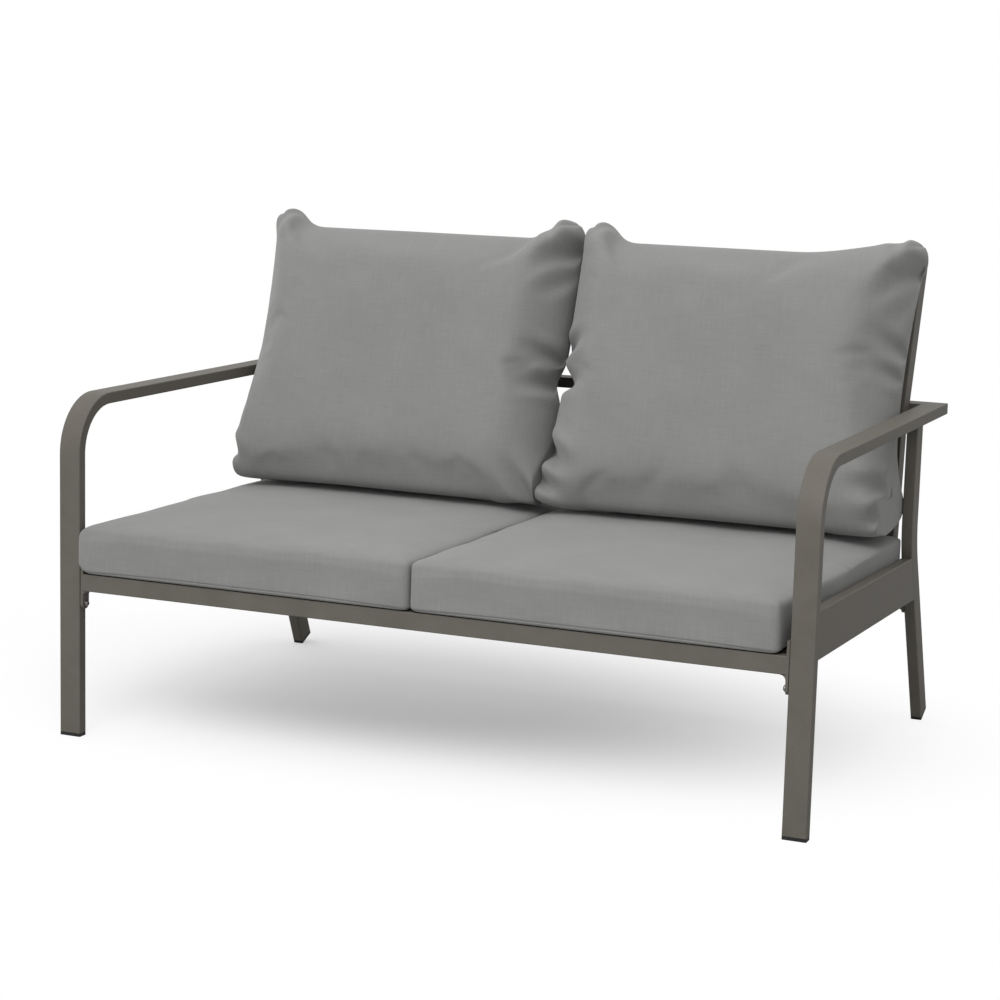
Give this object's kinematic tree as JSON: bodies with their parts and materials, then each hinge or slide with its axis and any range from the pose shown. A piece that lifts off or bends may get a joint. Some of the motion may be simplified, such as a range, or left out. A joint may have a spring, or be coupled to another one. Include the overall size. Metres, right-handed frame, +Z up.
{
  "type": "patio loveseat",
  "caption": "Low outdoor two-seat sofa with a flat-tube metal frame, flat looped arms, splayed rear legs, boxed seat cushions and loose back cushions.",
  "frame": {"origin": "on the floor under the middle of the loveseat's overall width and depth", "axes": "+X to the right of someone looking at the front, -Y the front, +Z up"},
  "size_m": [1.35, 0.8818, 0.8933],
  "materials": {
    "powder_coated_aluminium": "fine textured matt powder coat, warm grey",
    "black_plastic": "matt moulded",
    "bare_aluminium": "mill",
    "steel_fixings": "satin",
    "grey_outdoor_fabric": "plain woven polyester, mid grey"
  },
  "bodies": {
    "root": {"back_rail": "powder_coated_aluminium", "back_lower_rail": "powder_coated_aluminium", "back_top_rail": "powder_coated_aluminium", "back_slats": "powder_coated_aluminium", "front_end_plates": "powder_coated_aluminium", "rear_end_plates": "powder_coated_aluminium", "seat_front_rail": "powder_coated_aluminium", "seat_rear_rail": "powder_coated_aluminium", "seat_centre_bar": "powder_coated_aluminium", "seat_slats": "powder_coated_aluminium", "left_arm_leg": "powder_coated_aluminium", "left_rear_leg": "powder_coated_aluminium", "left_side_rail": "powder_coated_aluminium", "left_seat_end_bar": "powder_coated_aluminium", "left_back_post": "powder_coated_aluminium", "left_back_tab": "powder_coated_aluminium", "right_arm_leg": "powder_coated_aluminium", "right_rear_leg": "powder_coated_aluminium", "right_side_rail": "powder_coated_aluminium", "right_seat_end_bar": "powder_coated_aluminium", "right_back_post": "powder_coated_aluminium", "right_back_tab": "powder_coated_aluminium", "left_front_cap": "black_plastic", "left_rear_cap": "black_plastic", "left_post_plug": "bare_aluminium", "left_seat_cushion": "grey_outdoor_fabric", "left_back_cushion": "grey_outdoor_fabric", "right_front_cap": "black_plastic", "right_rear_cap": "black_plastic", "right_post_plug": "bare_aluminium", "right_seat_cushion": "grey_outdoor_fabric", "right_back_cushion": "grey_outdoor_fabric", "seat_bolts": "steel_fixings", "seat_washers": "steel_fixings", "tab_bolts": "steel_fixings", "tab_washers": "steel_fixings", "post_bolts": "steel_fixings", "post_washers": "steel_fixings", "seat_rivet_nuts": "steel_fixings", "tab_rivet_nuts": "steel_fixings"}
  },
  "joints": []
}
